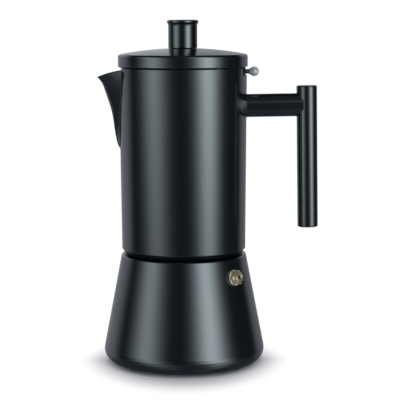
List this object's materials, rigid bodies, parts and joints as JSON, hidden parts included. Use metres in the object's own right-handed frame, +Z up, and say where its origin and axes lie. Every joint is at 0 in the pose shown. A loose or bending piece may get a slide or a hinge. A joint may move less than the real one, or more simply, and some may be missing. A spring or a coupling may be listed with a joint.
{
  "type": "moka pot",
  "caption": "Stove-top espresso pot: conical boiler, screwed-on tall cylindrical collector with a folded spout and a T-shaped tube handle, hinged domed lid with knob and thumb lever.",
  "frame": {"origin": "centre of the boiler's flat bottom, on the pot's axis", "axes": "+Z up along the pot's axis, +X from the axis towards the handle, -X towards the spout"},
  "size_m": [0.1423, 0.104, 0.2214],
  "materials": {
    "black_coating": "satin black baked coating on stainless steel",
    "bare_steel": "brushed stainless steel",
    "polished_steel": "polished",
    "brass": "turned pale brass",
    "silicone": "matt food-grade silicone"
  },
  "bodies": {
    "boiler": {"boiler": "black_coating", "valve_body": "brass", "valve_washer": "silicone", "valve_nut": "brass", "valve_seat": "brass", "valve_spring": "bare_steel"},
    "valve_poppet": {"valve_poppet": "brass"},
    "funnel": {"funnel": "bare_steel", "funnel_plate": "bare_steel"},
    "filter_plate": {"filter_plate": "bare_steel"},
    "gasket": {"gasket": "silicone"},
    "collector": {"collector_shell": "black_coating", "collector_floor": "bare_steel", "threaded_collar": "bare_steel", "riser_column": "bare_steel", "column_cap": "bare_steel", "spout": "black_coating", "handle_bar": "black_coating", "handle_grip": "black_coating", "grip_caps": "black_coating", "hinge_bracket": "black_coating", "hinge_pin": "polished_steel"},
    "lid": {"lid_shell": "black_coating", "lid_ring": "bare_steel", "knob": "black_coating", "knob_screw": "bare_steel", "lid_arm": "bare_steel", "thumb_lever": "polished_steel"}
  },
  "joints": [
    {"name": "collector_lift", "type": "slide", "parent": "boiler", "child": "filter_plate", "axis": [0, 0, 1], "range_m": [0, 0.16]},
    {"name": "thread_rise", "type": "slide", "parent": "filter_plate", "child": "gasket", "axis": [0, 0, 1], "range_m": [0, 0.0091]},
    {"name": "collector_turn", "type": "hinge", "parent": "gasket", "child": "collector", "pos_m": [0, 0, 0.08], "axis": [0, 0, 1], "range_deg": [0, 1080]},
    {"name": "funnel_lift", "type": "slide", "parent": "boiler", "child": "funnel", "axis": [0, 0, 1], "range_m": [0, 0.081]},
    {"name": "lid_hinge", "type": "hinge", "parent": "collector", "child": "lid", "pos_m": [0.0383, 0, 0.184], "axis": [0, 1, 0], "range_deg": [0, 74]},
    {"name": "valve_slide", "type": "slide", "parent": "boiler", "child": "valve_poppet", "axis": [0.7343, -0.652, 0.189], "range_m": [0, 0.0015], "stiffness_N_per_m": 800, "springref_m": -0.002, "deforming": ["valve_spring"]}
  ],
  "couplings": [
    {"joint": "thread_rise", "follows": "collector_turn", "m_per_rad": 0.00047746},
    {"joint": "funnel_lift", "follows": "collector_lift", "ratio": 0.5}
  ]
}
